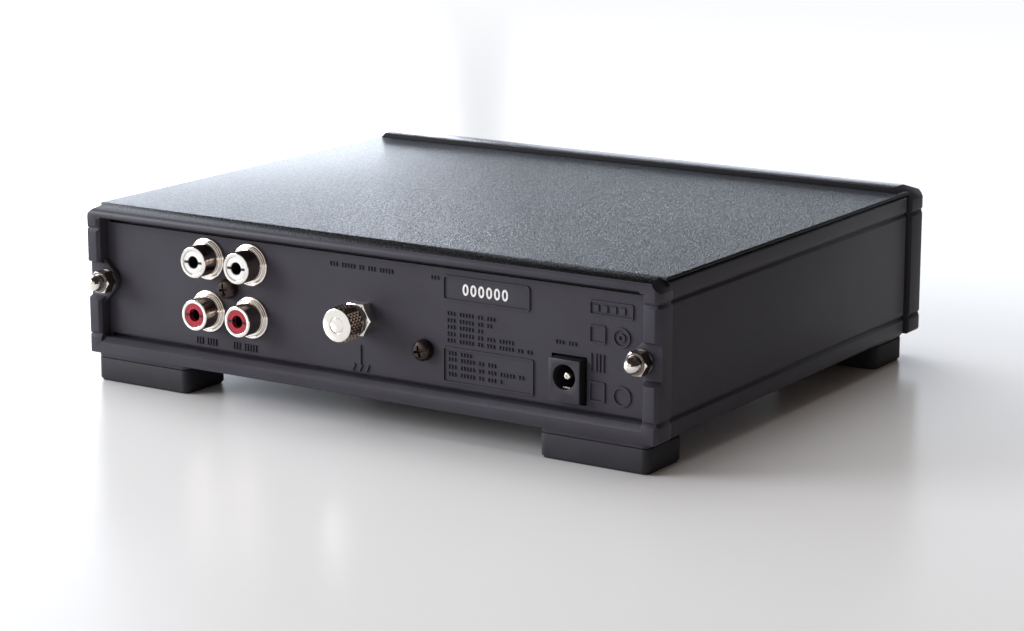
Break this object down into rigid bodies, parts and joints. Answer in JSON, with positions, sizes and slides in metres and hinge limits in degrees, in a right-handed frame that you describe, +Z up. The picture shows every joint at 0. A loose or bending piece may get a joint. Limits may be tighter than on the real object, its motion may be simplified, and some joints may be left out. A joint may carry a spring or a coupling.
{
  "type": "phono preamp",
  "caption": "Flat rectangular phono preamp case with grooved end bezels, recessed connector panel, phono sockets, ground terminal and power inlet.",
  "frame": {"origin": "on the table, under the centre of the whole part's box", "axes": "+X across the case, +Y out of the connector side, +Z up"},
  "size_m": [0.18, 0.1568, 0.05],
  "materials": {
    "case_plastic": "fine matt moulded",
    "cover_paint": "coarse grained paint",
    "foot_rubber": "matt",
    "nickel": "bright plated",
    "steel": "zinc plated",
    "tin": "tinned",
    "contact_brass": "plain",
    "insert_white": "glossy",
    "insert_red": "glossy",
    "black_plastic": "satin",
    "screw_black": "black zinc",
    "board_green": "solder mask",
    "plunger_white": "plain",
    "button_black": "satin",
    "clear_guide": "clear",
    "lamp_blue": "tinted",
    "can_sleeve": "sleeved",
    "film_red": "dipped",
    "resistor_blue": "lacquered",
    "sink_black": "black anodised",
    "relay_blue": "moulded"
  },
  "bodies": {
    "case": {"lower_case": "case_plastic", "top_cover": "cover_paint", "rear_bezel": "case_plastic", "front_bezel": "case_plastic", "rear_panel": "case_plastic", "front_fascia": "case_plastic", "foot_rear_left": "foot_rubber", "foot_rear_right": "foot_rubber", "foot_front_left": "foot_rubber", "foot_front_right": "foot_rubber", "tie_rods": "steel", "dome_nuts": "nickel", "nut_washers": "nickel", "phono_block": "black_plastic", "input_shell_left": "nickel", "input_shell_right": "nickel", "output_shell_left": "nickel", "output_shell_right": "nickel", "input_insert_left": "insert_white", "input_insert_right": "insert_red", "output_insert_left": "insert_white", "output_insert_right": "insert_red", "phono_contacts": "contact_brass", "panel_screws": "screw_black", "panel_bracket": "steel", "ground_stud": "nickel", "ground_lug": "tin", "ground_hex_nut": "nickel", "inlet_housing": "black_plastic", "inlet_pin": "nickel", "inlet_contacts": "tin", "circuit_board": "board_green", "board_screws": "steel", "power_switch": "black_plastic", "light_guide": "clear_guide", "indicator_lamp": "lamp_blue", "electrolytic_capacitors": "can_sleeve", "film_capacitors": "film_red", "amplifier_chips": "black_plastic", "resistors": "resistor_blue", "voltage_regulators": "black_plastic", "heat_sink": "sink_black", "muting_relay": "relay_blue"},
    "power_button": {"power_button": "button_black", "switch_plunger": "plunger_white"},
    "ground_washer": {"ground_washer": "nickel"},
    "thumb_nut": {"ground_thumb_nut": "nickel"}
  },
  "joints": [
    {"name": "button_press", "type": "slide", "parent": "case", "child": "power_button", "axis": [0, 1, 0], "range_m": [0, 0.0025], "stiffness_N_per_m": 300, "springref_m": -0.002},
    {"name": "terminal_travel", "type": "slide", "parent": "case", "child": "ground_washer", "axis": [0, 1, 0], "range_m": [0, 0.0035]},
    {"name": "terminal_turn", "type": "hinge", "parent": "ground_washer", "child": "thumb_nut", "pos_m": [0, 0.07132, 0.02785], "axis": [0, 1, 0], "range_deg": [0, 1800]}
  ],
  "couplings": [
    {"joint": "terminal_turn", "follows": "terminal_travel", "rad_per_m": 8976}
  ]
}
